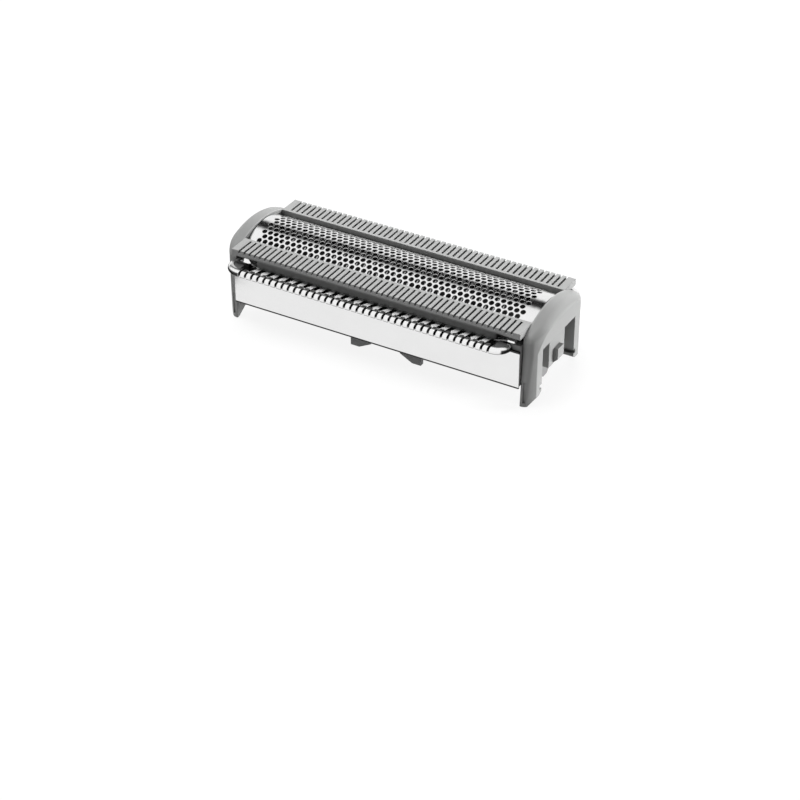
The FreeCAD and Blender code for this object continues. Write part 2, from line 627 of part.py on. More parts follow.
def lamella():
    """Thin arched blade that straddles the beam, at X = 0."""
    half = LAMELLA_W / 2
    shoulder = arch_z(LAMELLA_R, half)
    foot = BEAM_TOP + FIT - LAMELLA_FOOT + 0.25
    seat = BEAM_TOP + FIT
    inner = BEAM_W / 2 + FIT
    crest = AXIS_Z + LAMELLA_R - LAMELLA_CROWN
    bay = LAMELLA_BAY_TOP / 2
    lower = [(half, shoulder), (half, foot), (inner, foot), (inner, seat), (inner - LAMELLA_LEG, seat),
             (bay, crest), (-bay, crest), (-inner + LAMELLA_LEG, seat), (-inner, seat),
             (-inner, foot), (-half, foot), (-half, shoulder)]
    edges = [arc((-half, shoulder), (0, AXIS_Z + LAMELLA_R), (half, shoulder))]
    edges += [line(a, b) for a, b in zip(lower, lower[1:])]
    return along_x(edges, -LAMELLA_T / 2, LAMELLA_T)


def cutter_lamellae():
    one = lamella()
    row = []
    for i in range(LAMELLA_N):
        blade = one.copy()
        blade.translate(V((i - (LAMELLA_N - 1) / 2) * LAMELLA_PITCH, 0, 0))
        row.append(blade)
    return Part.makeCompound(row)


def bow_spring(middle):
    """Flat steel bow with two feet on the bridge and its crest under the beam."""
    low = BRIDGE_TOP + FIT
    high = BEAM_Z - FIT - BOW_T
    half = [(BOW_L / 2, low), (BOW_L / 2 - BOW_FOOT, low), (BOW_CREST / 2, high)]
    under = half + [(-x, z) for x, z in reversed(half)]
    over = [(x, z + BOW_T) for x, z in reversed(under)]
    return prism([(middle + x, -BOW_W / 2, z) for x, z in under + over], V(0, BOW_W, 0))


def main():
    os.makedirs("parts", exist_ok=True)
    front = front_guard()
    blade = front_blade()
    slider = front_slider()
    strip = front_blade_spring()
    nodes = {
        "head_frame": head_frame(),
        "foil": foil(),
        "foil_holder": foil_holder(),
        "chassis": chassis(),
        "front_guard": front,
        "rear_guard": turned(front),
        "front_blade": blade,
        "rear_blade": turned(blade),
        "front_slider": slider,
        "rear_slider": turned(slider),
        "front_blade_spring": strip,
        "rear_blade_spring": turned(strip),
        "cutter_bridge": cutter_bridge(),
        "cutter_beam": cutter_beam(),
        "cutter_lamellae": cutter_lamellae(),
        "left_cutter_spring": bow_spring(-BOW_X),
        "right_cutter_spring": bow_spring(BOW_X),
    }
    for name, shape in nodes.items():
        shape.exportStep("parts/" + name + ".step")
        box_ = shape.BoundBox
        print(name, len(shape.Solids), "solids", "valid" if shape.isValid() else "NOT VALID",
              "volume %.2f" % shape.Volume, "x %.2f %.2f y %.2f %.2f z %.2f %.2f" % (
                  box_.XMin, box_.XMax, box_.YMin, box_.YMax, box_.ZMin, box_.ZMax))


main()
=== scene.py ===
import bpy
import math
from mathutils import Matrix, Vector


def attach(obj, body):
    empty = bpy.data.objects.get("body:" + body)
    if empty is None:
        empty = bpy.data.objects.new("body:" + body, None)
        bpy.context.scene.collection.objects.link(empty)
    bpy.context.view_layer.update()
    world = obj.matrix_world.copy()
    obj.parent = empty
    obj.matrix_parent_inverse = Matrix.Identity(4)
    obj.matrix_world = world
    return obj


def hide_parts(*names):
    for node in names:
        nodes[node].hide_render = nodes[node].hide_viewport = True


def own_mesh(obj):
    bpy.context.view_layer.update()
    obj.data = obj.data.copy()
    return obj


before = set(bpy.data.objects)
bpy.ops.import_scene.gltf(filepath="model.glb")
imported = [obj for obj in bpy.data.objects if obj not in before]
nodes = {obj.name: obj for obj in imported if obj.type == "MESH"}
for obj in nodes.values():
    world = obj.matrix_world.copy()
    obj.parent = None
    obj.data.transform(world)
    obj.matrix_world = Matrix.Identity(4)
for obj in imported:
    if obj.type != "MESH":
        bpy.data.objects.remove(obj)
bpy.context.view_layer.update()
MM = 0.001

# Foil: sizes here and below are in millimetres, and outlines follow the part's solids
CREST_Z = 13.75
FOIL_R = 8.0
AXIS_Z = CREST_Z - FOIL_R
FOIL_X = 24.85
FOIL_Y = 6.3
FOIL_SKIRT = 1.9
SKIRT_PARTS = 25
HOLE_PITCH = 1.05
HOLE_R = 0.405
HOLE_RIM = 0.035        # width of the rounded rim
HOLE_LIP = 0.03         # depth of the rounded rim
HOLE_DEPTH = 0.09
HOLE_ROWS = 8           # cells on each side of the crest, the outermost closed
HOLE_COLUMNS = 25
HOLE_LEFT = -23.3       # holes only between these two places
HOLE_RIGHT = 23.0
HEX_SPLIT = 3           # points on each side of a hexagonal cell

# Cutter blades under the foil
LAMELLAE = 30
LAMELLA_PITCH = 1.33
LAMELLA_T = 0.18
LAMELLA_R = 7.77
LAMELLA_HALF = 5.3
LAMELLA_STEPS = 22
LAMELLA_WEB = 1.7       # height of the blade over its window
FOOT_Z = 8.8
WINDOW_HALF = 2.4
WINDOW_SILL = 0.9
BEAM_TOP = 9.7
BEAM_HALF = 4.6
BEAM_FIT = 0.05

# Guards: plate, ledge and fold
SHEET = 0.25
PLATE_OUT = 8.9
PLATE_IN = PLATE_OUT - SHEET
PLATE_BOTTOM = 3.2
PLATE_X = 24.9
HEM_Z = 9.3             # underside of the ledge
HEM_TOP = 10.4
HEM_Y = 11.2
FOLD_LOW_R = 0.4
FOLD_TOP_R = 0.7
LEDGE_D = HEM_Y - PLATE_OUT
ARC_LOW = FOLD_LOW_R * math.pi / 2
ARC_TOP = FOLD_TOP_R * math.pi / 2
WALL_L = HEM_TOP - HEM_Z - FOLD_LOW_R - FOLD_TOP_R
FINGERS = 40
FINGER_PITCH = 1.11
FINGER_SHIFT = -0.85
FINGER_SLANT = 0.2
FINGER_L = 1.25
FINGERTIP = ((0.7, 0.0), (0.9, 0.04), (1.0, 0.1))   # share of the flap, extra half-width of the gap
GAP_W = 0.4
GAP_START = 0.14        # along the sheet, from where the fold begins
GAP_ROOT = (0.0, 0.12, 0.3, 0.6, 1.0)
ROW_STEP = 0.1
END_R = 2.45
END_ANGLES = range(9, 91, 9)
LEFT_END = {"side": -1, "x": -25.75, "reach": 3.0, "flap": 0.95}
RIGHT_END = {"side": 1, "x": 23.6, "reach": END_R, "flap": 0.71}
PAD_CLEARANCE = 1.15    # between blade and pad, for the blade's travel
PAD_INSET = 0.5
PAD_GAP = 0.1

# Comb blades in the guards
BLADE_Z = 9.65
BLADE_TOP = 10.05
BLADE_L = 42.0
BLADE_INNER = 7.2
BLADE_ROOT = 8.45
BLADE_TIP = 10.7
TOOTH_PITCH = 1.665
TOOTH_SLANT = 0.35
TOOTH_ROOT_HALF = 0.4
TOOTH_WIDE_HALF = 0.57
TOOTH_TIP_HALF = 0.5
TOOTH_BEVEL = 0.1
VALLEY_HALF = 0.43
VALLEY_DEPTH = 0.17
VALLEY_ANGLES = (150, 120, 90, 60, 30)
PEG_X = (-15.0, 0.0, 15.0)
PEG_Y = 7.9
PEG_HALF_L = 0.5
PEG_HALF_W = 0.35

# Springs: bows under the beam, and lugs on the blades' strips
BOW_L = 8.0
BOW_W = 3.0
BOW_T = 0.2
BOW_FOOT = 1.4
BOW_CREST = 2.0
BOW_X = 6.8
BOW_LOW = 6.45
BOW_HIGH = 8.45
BOW_STEPS = 32
STRIP_EDGE_Y = 8.4
STRIP_SHADE_END_X = 20.8
LUG_Z = 10.6
LUG_T = 0.15
LUG_OVERHANG = 0.2
LUG_LEAN = 0.5
TALL_LUG = [(-23.3, LUG_Z), (-23.3, 11.2), (-22.5, 11.2), (-21.95, 10.75), (-22.4, LUG_Z)]
LOW_LUG = [(22.7, LUG_Z), (22.7, 10.85), (23.8, 10.85), (23.8, LUG_Z)]

# Painted shade and painted reflections: how dark colours turn (1 is unchanged), and where, each from one
# distance to another
GUARD_REFLECTED_BLACK = 0.04
BLADE_SHADE_BLACK = 0.03
SKIRT_PAINTED_SHADE = 0.5
CHEEK_PAINTED_SHADE = 0.8
UNDERSIDE_PAINTED_SHADOW = 0.04
LEDGE_SHADE_Z = (9.6, 9.8)
PLATE_EDGE_REFLECTION_Z = (3.44, 3.46)
FOLD_REFLECTION_FROM_Z = (9.22, 9.28)
FOLD_REFLECTION_TO_Z = (10.0, 10.15)
FOLD_REFLECTION_END_X = (22.6, 22.8)
TEETH_SHADE_Y = (9.85, 10.0)
SKIRT_SHADE_END_X = (21.0, 22.5)
SKIRT_SHADE_TOP_Z = (11.85, 12.1)
CHEEK_SHADE_X = (25.2, 25.5)

# Studio: reflections, floor and camera
CARD_X = (31.7, 32.7)
CARD_Y = (21.0, 25.0)
CARD_BLACK = 0.02
FLOOR_HALF = 1200
FLOOR_Z = -0.2
PAPER_SHINE = 0.88
PAPER_BOUNCE = 0.35
STRIP_HEIGHT = 54       # dark strip of the surroundings, in degrees over the horizon
STRIP_HALF = 9
STRIP_SOFT = 18
STRIP_BLACK = 0.01
FILL = 0.15
LAMP_TARGET = (0, 0, 0.008)
SENSOR_W = 36
FOCAL_PIXELS = 2081
PICTURE_PIXELS = 800
CAMERA_AZIMUTH = 30.0
CAMERA_ELEVATION = 33.9
CAMERA_DISTANCE = 328.3
CAMERA_TARGET = (0.93, -2.14, -10.68)


# Shader helpers

def new_material(name):
    """Material with its node tree and its shader."""
    mat = bpy.data.materials.new(name)
    mat.use_nodes = True
    tree = mat.node_tree
    return mat, tree, tree.nodes["Principled BSDF"]


def math_node(tree, operation, first, second=0.0):
    """Result of a Math node; each input is a socket or a number."""
    node = tree.nodes.new("ShaderNodeMath")
    node.operation = operation
    for socket, value in zip(node.inputs, (first, second)):
        if isinstance(value, bpy.types.NodeSocket):
            tree.links.new(value, socket)
        else:
            socket.default_value = value
    return node.outputs[0]


def mix_shaders(tree, factor, first, second):
    """Two shaders mixed by a factor, all of them sockets."""
    node = tree.nodes.new("ShaderNodeMixShader")
    for socket, value in zip(node.inputs, (factor, first, second)):
        tree.links.new(value, socket)
    return node.outputs[0]


def coordinate(tree, axis, space="Object"):
    """One coordinate of the shaded point."""
    coords = tree.nodes.new("ShaderNodeTexCoord")
    split = tree.nodes.new("ShaderNodeSeparateXYZ")
    tree.links.new(coords.outputs[space], split.inputs[0])
    return split.outputs[axis]


def noise(tree, scale, detail=3.0, stretch=(1, 1, 1)):
    """Noise in the object's frame; stretch draws it out along an axis."""
    coords = tree.nodes.new("ShaderNodeTexCoord")
    mapping = tree.nodes.new("ShaderNodeMapping")
    mapping.inputs["Scale"].default_value = stretch
    tex = tree.nodes.new("ShaderNodeTexNoise")
    tex.inputs["Scale"].default_value = scale
    tex.inputs["Detail"].default_value = detail
    tree.links.new(coords.outputs["Object"], mapping.inputs["Vector"])
    tree.links.new(mapping.outputs["Vector"], tex.inputs["Vector"])
    return tex.outputs["Fac"]


def ramp(tree, source, low, high, start=0.3, stop=0.7):
    """Value that goes from low to high while the source goes from start to stop."""
    node = tree.nodes.new("ShaderNodeMapRange")
    node.inputs["From Min"].default_value = start
    node.inputs["From Max"].default_value = stop
    node.inputs["To Min"].default_value = low
    node.inputs["To Max"].default_value = high
    tree.links.new(source, node.inputs["Value"])
    return node.outputs["Result"]


def tint(tree, source, dark, light):
    """Colour between dark and light."""
    node = tree.nodes.new("ShaderNodeMix")
    node.data_type = "RGBA"
    node.inputs["A"].default_value = (*dark, 1)
    node.inputs["B"].default_value = (*light, 1)
    tree.links.new(source, node.inputs["Factor"])
    return node.outputs["Result"]


def times(tree, colour, mask):
    """Colour or mask multiplied by a grey mask."""
    node = tree.nodes.new("ShaderNodeMix")
    node.data_type = "RGBA"
    node.blend_type = "MULTIPLY"
    node.inputs["Factor"].default_value = 1.0
    tree.links.new(colour, node.inputs["A"])
    tree.links.new(mask, node.inputs["B"])
    return node.outputs["Result"]


def larger(tree, a, b, least=0.0):
    """The larger of two masks, kept above a least value."""
    return math_node(tree, "MAXIMUM", b, math_node(tree, "MAXIMUM", a, least))


def crevice_shade(tree, reach, darkest, closed=0.15, clear=0.75):
    """Painted shade: mask that falls off in narrow gaps and under overhangs."""
    node = tree.nodes.new("ShaderNodeAmbientOcclusion")
    node.samples = 8
    node.inputs["Distance"].default_value = reach * MM
    return ramp(tree, node.outputs["AO"], darkest, 1.0, closed, clear)


def facing_up(tree, low, high, start, stop):
    """Mask by the height of the unit normal: 1 on top faces, -1 on undersides."""
    geometry = tree.nodes.new("ShaderNodeNewGeometry")
    split = tree.nodes.new("ShaderNodeSeparateXYZ")
    tree.links.new(geometry.outputs["Normal"], split.inputs[0])
    return ramp(tree, split.outputs["Z"], low, high, start, stop)


def place(tree, axis, reach, low=0.0, high=1.0):
    """Mask that changes along an axis, between two distances from the middle of the head."""
    start, stop = reach
    distance = math_node(tree, "ABSOLUTE", coordinate(tree, axis))
    return ramp(tree, distance, low, high, start * MM, stop * MM)


def rounded_normal(tree, shader, radius, height, depth, strength):
    """Softens sharp edges in the shading and adds a fine relief."""
    bevel = tree.nodes.new("ShaderNodeBevel")
    bevel.samples = 6
    bevel.inputs["Radius"].default_value = radius * MM
    bump = tree.nodes.new("ShaderNodeBump")
    bump.inputs["Strength"].default_value = strength
    bump.inputs["Distance"].default_value = depth * MM
    tree.links.new(height, bump.inputs["Height"])
    tree.links.new(bevel.outputs["Normal"], bump.inputs["Normal"])
    tree.links.new(bump.outputs["Normal"], shader.inputs["Normal"])


# Painted shade and painted reflections of single pieces

def guard_painted_shade(tree):
    """Painted shade and painted reflections: black ledge under the blade, dark lower half of the fold's
    ends, dark line along the plate's lower edge.
    """
    # Painted shade: the ledge's top inside the fold turns black
    ledge = larger(tree, place(tree, "Z", LEDGE_SHADE_Z), facing_up(tree, 1.0, 0.0, 0.5, 0.8))
    # Painted reflection: a dark line along the plate's lower edge, where the edge would mirror the dark
    # underside
    edge = place(tree, "Z", PLATE_EDGE_REFLECTION_Z, GUARD_REFLECTED_BLACK)
    # Painted reflection: the lower half of the fold's two ends turns dark, as if mirroring black
    level = larger(tree, place(tree, "Z", FOLD_REFLECTION_FROM_Z, 1.0, 0.0), place(tree, "Z", FOLD_REFLECTION_TO_Z))
    ends = larger(tree, level, place(tree, "X", FOLD_REFLECTION_END_X, 1.0, 0.0), GUARD_REFLECTED_BLACK)
    return times(tree, times(tree, ledge, edge), ends)


def blade_painted_shade(tree):
    """Painted shade: dark cut edges of the blade, and dark teeth inside the fold."""
    # Painted shade: faces that don't look up turn dark
    side_shade = facing_up(tree, BLADE_SHADE_BLACK, 1.0, 0.2, 0.8)
    # Painted shade: the teeth under the fold's fingers turn dark
    return times(tree, side_shade, place(tree, "Y", TEETH_SHADE_Y, 1.0, BLADE_SHADE_BLACK))


def frame_painted_shade(tree):
    """Painted shade: darker skirts under the bars, and a darker upper roll of the cheeks."""
    # Painted shade under the bars
    skirt_shade = larger(tree, place(tree, "X", SKIRT_SHADE_END_X), place(tree, "Z", SKIRT_SHADE_TOP_Z), SKIRT_PAINTED_SHADE)
    # Painted shade on the cheeks' upward faces
    roll_shade = larger(tree, place(tree, "X", CHEEK_SHADE_X, 1.0, 0.0), facing_up(tree, 1.0, CHEEK_PAINTED_SHADE, 0.1, 0.45))
    return times(tree, skirt_shade, roll_shade)


# Materials

def plastic(name, base, roughness, edge=0.12, shade=None):
    """Moulded plastic with a fine eroded grain and slightly uneven gloss."""
    mat, tree, shader = new_material(name)
    fine = noise(tree, 9000, 4.0)
    broad = noise(tree, 260, 2.0)
    dark = tuple(c * 0.96 for c in base)
    light = tuple(c * 1.04 for c in base)
    colour = tint(tree, ramp(tree, broad, 0, 1), dark, light)
    # Painted shade in gaps and under overhangs
    colour = times(tree, colour, crevice_shade(tree, 2.0, 0.3))
    if shade:
        colour = times(tree, colour, shade(tree))
    tree.links.new(colour, shader.inputs["Base Color"])
    gloss = ramp(tree, broad, roughness - 0.04, roughness + 0.05)
    tree.links.new(gloss, shader.inputs["Roughness"])
    rounded_normal(tree, shader, edge, fine, 0.02, 0.35)
    return mat


def steel(name, base, roughness, stretch=(1, 1, 1), edge=0.05, relief=0.002, gap=0.12, uneven=0.95,
          metallic=1.0, shade=None):
    """Ground or rolled steel; stretch sets the direction of the grinding marks, and gap how dark the painted
    shade in narrow gaps turns.
    """
    mat, tree, shader = new_material(name)
    lines = noise(tree, 5000, 3.0, stretch)
    broad = noise(tree, 300, 2.0)
    colour = tint(tree, ramp(tree, broad, 0, 1), (base * uneven,) * 3, (base,) * 3)
    # Painted shade in narrow gaps
    colour = times(tree, colour, crevice_shade(tree, 1.0, gap))
    if shade:
        colour = times(tree, colour, shade(tree))
    # Painted reflection: faces that look down turn dark, standing in for the head's own shadow that they
    # would mirror
    colour = times(tree, colour, facing_up(tree, UNDERSIDE_PAINTED_SHADOW, 1.0, -0.75, -0.05))
    tree.links.new(colour, shader.inputs["Base Color"])
    gloss = ramp(tree, lines, roughness * 0.8, roughness * 1.2)
    tree.links.new(gloss, shader.inputs["Roughness"])
    shader.inputs["Metallic"].default_value = metallic
    rounded_normal(tree, shader, edge, lines, relief, 0.25)
    return mat


def shaded_spring_steel():
    """Steel with painted shade: dark along the strip, where it lies in shade under the bars, and bright at
    the two ends.
    """
    mat, tree, shader = new_material("spring_steel")
    # Painted shade stops here; beyond it the steel keeps its bright colour
    lit_ends = place(tree, "X", (STRIP_SHADE_END_X - 0.4, STRIP_SHADE_END_X))
    lines = noise(tree, 5000, 3.0, (0.2, 1, 1))
    colour = tint(tree, lit_ends, (0.16, 0.165, 0.165), (0.95, 0.95, 0.95))
    tree.links.new(colour, shader.inputs["Base Color"])
    tree.links.new(ramp(tree, lines, 0.22, 0.34), shader.inputs["Roughness"])
    shader.inputs["Metallic"].default_value = 1.0
    rounded_normal(tree, shader, 0.05, lines, 0.004, 0.25)
    return mat


frame_grey = plastic("frame_grey", (0.33, 0.333, 0.33), 0.42, edge=0.16, shade=frame_painted_shade)
chassis_grey = plastic("chassis_grey", (0.24, 0.24, 0.24), 0.5)
slider_grey = plastic("slider_grey", (0.22, 0.222, 0.222), 0.45)
pad_grey = plastic("pad_grey", (0.1, 0.1, 0.1), 0.5)
holder_black = plastic("holder_black", (0.03, 0.03, 0.03), 0.55)
bridge_black = plastic("bridge_black", (0.025, 0.025, 0.025), 0.5)
foil_steel = steel("foil_steel", 0.88, 0.15, (1, 6, 6), edge=0.03, gap=0.5)
guard_steel = steel("guard_steel", 0.92, 0.22, (0.15, 1, 1), edge=0.07, relief=0.0015, uneven=0.98,
                    metallic=0.97, shade=guard_painted_shade)
blade_steel = steel("blade_steel", 0.98, 0.45, (1, 0.2, 1), edge=0.12, gap=0.02, metallic=0.15,
                    shade=blade_painted_shade)
lamella_steel = steel("lamella_steel", 0.5, 0.35)
spring_steel = shaded_spring_steel()


# Mesh helpers

def ring_pairs(n):
    """Numbers of neighbours around a ring of n points."""
    return [(k, (k + 1) % n) for k in range(n)]


class Shape:
    """Collects welded vertices and faces."""

    def __init__(self):
        self.verts = []
        self.faces = []
        self.index = {}

    def point(self, x, y, z):
        key = (round(x, 5), round(y, 5), round(z, 5))
        if key not in self.index:
            self.index[key] = len(self.verts)
            self.verts.append((x, y, z))
        return self.index[key]

    def face(self, *points):
        ids = []
        for p in points:
            i = self.point(*p)
            if i not in ids:
                ids.append(i)
        if len(ids) > 2:
            self.faces.append(ids)

    def prism(self, outline, lift):
        """Closed outline in 3-D, swept by a vector."""
        top = [tuple(a + b for a, b in zip(p, lift)) for p in outline]
        self.face(*reversed(outline))
        self.face(*top)
        for i, j in ring_pairs(len(outline)):
            self.face(outline[i], outline[j], top[j], top[i])

    def turn_to(self, row):
        """Leaves a shape of the front as it is, and turns it half round for the rear."""
        if row == "rear":
            self.verts = [(-x, -y, z) for x, y, z in self.verts]


def make_object(name, shape, mat, body, smooth=0.0):
    """Shape in millimetres to an object that rides on a body; smooth is an angle in degrees."""
    mesh = bpy.data.meshes.new(name)
    mesh.from_pydata([Vector(v) * MM for v in shape.verts], [], shape.faces)
    mesh.validate()
    mesh.update()
    obj = bpy.data.objects.new(name, mesh)
    bpy.context.scene.collection.objects.link(obj)
    mesh.materials.append(mat)
    if smooth:
        mesh.shade_smooth()
        mesh.set_sharp_from_angle(angle=math.radians(smooth))
    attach(obj, body)
    return obj


# Foil: arched skin with staggered round holes

def on_arch(points, radius):
    """Points of the flat pattern (u along X, v around the arch) on a cylinder about the foil's axis."""
    return [(u, radius * math.sin(v / FOIL_R), AXIS_Z + radius * math.cos(v / FOIL_R)) for u, v in points]


def clip_to_foil(u, v):
    """Point of the flat pattern, moved to the foil's edge where it lies outside."""
    edge_v = FOIL_R * math.asin(FOIL_Y / FOIL_R)
    return (max(-FOIL_X, min(FOIL_X, u)), max(-edge_v, min(edge_v, v)))


def hexagon(u0, v0):
    """Outline of a hole's cell, with extra points along its six sides."""
    corner_r = HOLE_PITCH / math.sqrt(3)
    ring = []
    for k in range(6):
        a = math.radians(30 + 60 * k)
        b = math.radians(90 + 60 * k)
        for m in range(HEX_SPLIT):
            t = m / HEX_SPLIT
            u = u0 + corner_r * (math.cos(a) * (1 - t) + math.cos(b) * t)
            v = v0 + corner_r * (math.sin(a) * (1 - t) + math.sin(b) * t)
            ring.append(clip_to_foil(u, v))
    return ring


def circle(u0, v0, r):
    """Round hole with as many points as its cell, starting in the same direction."""
    count = 6 * HEX_SPLIT
    angles = [math.radians(30 + 360 / count * k) for k in range(count)]
    return [(u0 + r * math.cos(a), v0 + r * math.sin(a)) for a in angles]


def add_foil_cell(shape, u0, v0, is_open):
    """One cell of the foil, with a hole or closed."""
    outer = on_arch(hexagon(u0, v0), FOIL_R)
    if is_open:
        rings = [outer,
                 on_arch(circle(u0, v0, HOLE_R + HOLE_RIM), FOIL_R),
                 on_arch(circle(u0, v0, HOLE_R), FOIL_R - HOLE_LIP),
                 on_arch(circle(u0, v0, HOLE_R), FOIL_R - HOLE_DEPTH)]
        for k, m in ring_pairs(len(outer)):
            for above, below in zip(rings, rings[1:]):
                shape.face(above[k], above[m], below[m], below[k])
        return
    middle = on_arch([clip_to_foil(u0, v0)], FOIL_R)[0]
    for k, m in ring_pairs(len(outer)):
        shape.face(middle, outer[k], outer[m])


def build_foil():
    """Foil with its two straight skirts."""
    shape = Shape()
    row_step = HOLE_PITCH * math.sqrt(3) / 2
    for j in range(-HOLE_ROWS, HOLE_ROWS + 1):
        shift = 0 if j % 2 else HOLE_PITCH / 2
        for i in range(-HOLE_COLUMNS, HOLE_COLUMNS):
            u0 = i * HOLE_PITCH + shift
            if abs(u0) <= FOIL_X + HOLE_PITCH / 2:
                is_open = abs(j) < HOLE_ROWS and HOLE_LEFT < u0 < HOLE_RIGHT
                add_foil_cell(shape, u0, j * row_step, is_open)
    top = AXIS_Z + math.sqrt(FOIL_R ** 2 - FOIL_Y ** 2)
    low = top - FOIL_SKIRT
    for y in (-FOIL_Y, FOIL_Y):
        for i in range(SKIRT_PARTS):
            x0 = -FOIL_X + 2 * FOIL_X * i / SKIRT_PARTS
            x1 = -FOIL_X + 2 * FOIL_X * (i + 1) / SKIRT_PARTS
            shape.face((x0, y, top), (x1, y, top), (x1, y, low), (x0, y, low))
    skin = make_object("foil_skin", shape, foil_steel, "base", 32)
    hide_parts("foil")


# Cutter blades under the foil

def build_lamellae():
    """Row of arched blades with a window, each standing astride the beam."""
    shape = Shape()
    seat = BEAM_TOP + BEAM_FIT
    inner = BEAM_HALF + BEAM_FIT
    sill = inner - WINDOW_SILL
    crest = AXIS_Z + LAMELLA_R - LAMELLA_WEB
    arch = [-LAMELLA_HALF + 2 * LAMELLA_HALF * k / LAMELLA_STEPS for k in range(LAMELLA_STEPS + 1)]
    outline = [(y, AXIS_Z + math.sqrt(LAMELLA_R ** 2 - y ** 2)) for y in arch]
    right_half = [(LAMELLA_HALF, FOOT_Z), (inner, FOOT_Z), (inner, seat), (sill, seat), (WINDOW_HALF, crest)]
    outline += right_half + [(-y, z) for y, z in reversed(right_half)]
    for i in range(LAMELLAE):
        x = (i - (LAMELLAE - 1) / 2) * LAMELLA_PITCH - LAMELLA_T / 2
        shape.prism([(x, y, z) for y, z in outline], (LAMELLA_T, 0, 0))
    obj = make_object("cutter_blades", shape, lamella_steel, "cutter")
    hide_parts("cutter_lamellae")


# Guards: sheet folded back over the blade as a comb

def sheet_rows():
    """Rows along the folded sheet: (length from the start of the fold, gap half-width).

    The first row is the ledge's inner edge, and the gap opens with a round root.
    """
    r = GAP_W / 2
    rows = [(-1.0, 0.0), (0.0, 0.0), (GAP_START / 2, 0.0)]
    rows += [(GAP_START + t * r, math.sqrt(r * r - (r - t * r) ** 2)) for t in GAP_ROOT]
    round_end = ARC_LOW + WALL_L + ARC_TOP
    s = GAP_START + r + ROW_STEP
    while s < round_end - ROW_STEP / 2:
        rows.append((s, r))
        s += ROW_STEP
    rows.append((round_end, r))
    return rows + [(round_end + share, r + wider) for share, wider in FINGERTIP]


def sheet_point(s, flap, inner):
    """(distance in from the outer line, height) on the outer or inner side of the sheet."""
    t = SHEET if inner else 0.0
    if s < 0:
        return (LEDGE_D, HEM_Z + t)
    if s < ARC_LOW:
        a = s / FOLD_LOW_R
        r = FOLD_LOW_R - t
        return (FOLD_LOW_R - r * math.sin(a), HEM_Z + FOLD_LOW_R - r * math.cos(a))
    s -= ARC_LOW
    if s < WALL_L:
        return (t, HEM_Z + FOLD_LOW_R + s)
    s -= WALL_L
    if s < ARC_TOP:
        a = math.pi / 2 + s / FOLD_TOP_R
        r = FOLD_TOP_R - t
        return (FOLD_TOP_R - r * math.sin(a), HEM_TOP - FOLD_TOP_R - r * math.cos(a))
    share = min(1.0, s - ARC_TOP)
    return (FOLD_TOP_R + (flap - FOLD_TOP_R) * share, HEM_TOP - t)


def straight_station(x, side):
    """Flap length and (x, y) on the straight front; side says to which side of the gap at x."""
    def spot(depth, gap, lean):
        return (x + side * gap + lean, depth - HEM_Y)
    return FINGER_L, spot


def corner_station(end, angle):
    """Flap length and (x, y) on a rounded end; angle 0 is its front, 90 its outermost line."""
    cx = end["x"] - end["side"] * end["reach"]
    s = math.sin(math.radians(angle)) * end["side"]
    c = math.cos(math.radians(angle))

    def spot(depth, gap, lean):
        inward = min(depth, END_R)
        return (cx + s * (end["reach"] - inward), END_R - HEM_Y - c * (END_R - inward))
    return end["flap"], spot


def add_sheet(shape, rows, left, right, walls):
    """Folded sheet between two stations; walls says which of its sides are closed."""
    previous = None
    for s, gap in rows:
        corners = []
        for inner in (False, True):
            for flap, spot in (left, right):
                depth, z = sheet_point(s, flap, inner)
                lean = FINGER_SLANT * depth if s > ARC_LOW else 0.0
                corners.append((*spot(depth, gap, lean), z))
        if previous:
            a, b, c, d = previous
            e, f, g, h = corners
            shape.face(a, b, f, e)
            shape.face(d, c, g, h)
            if walls[0]:
                shape.face(a, e, g, c)
            if walls[1]:
                shape.face(b, d, h, f)
        previous = corners
    e, f, g, h = previous
    shape.face(e, f, h, g)


def build_guard(row):
    """Plate with its folded comb, from one rounded end to the other."""
    shape = Shape()
    rows = sheet_rows()
    first = FINGER_SHIFT - (FINGERS - 1) / 2 * FINGER_PITCH
    last = 2 * FINGER_SHIFT - first
    for i in range(FINGERS - 1):
        x = first + i * FINGER_PITCH
        add_sheet(shape, rows, straight_station(x, 1), straight_station(x + FINGER_PITCH, -1), (True, True))
    for end, gap_x in ((LEFT_END, first), (RIGHT_END, last)):
        stations = [straight_station(gap_x, end["side"])]
        stations += [corner_station(end, angle) for angle in END_ANGLES]
        for n, (near, far) in enumerate(zip(stations, stations[1:])):
            if end["side"] < 0:
                add_sheet(shape, rows, far, near, (False, n == 0))
            else:
                add_sheet(shape, rows, near, far, (n == 0, False))
    top = HEM_Z + SHEET
    outline = [(-PLATE_IN, top), (-PLATE_OUT, top), (-PLATE_OUT, PLATE_BOTTOM), (-PLATE_IN, PLATE_BOTTOM)]
    shape.prism([(-PLATE_X, y, z) for y, z in outline], (2 * PLATE_X, 0, 0))
    shape.turn_to(row)
    obj = make_object(row + "_guard_sheet", shape, guard_steel, "base", 40)
    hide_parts(row + "_guard")


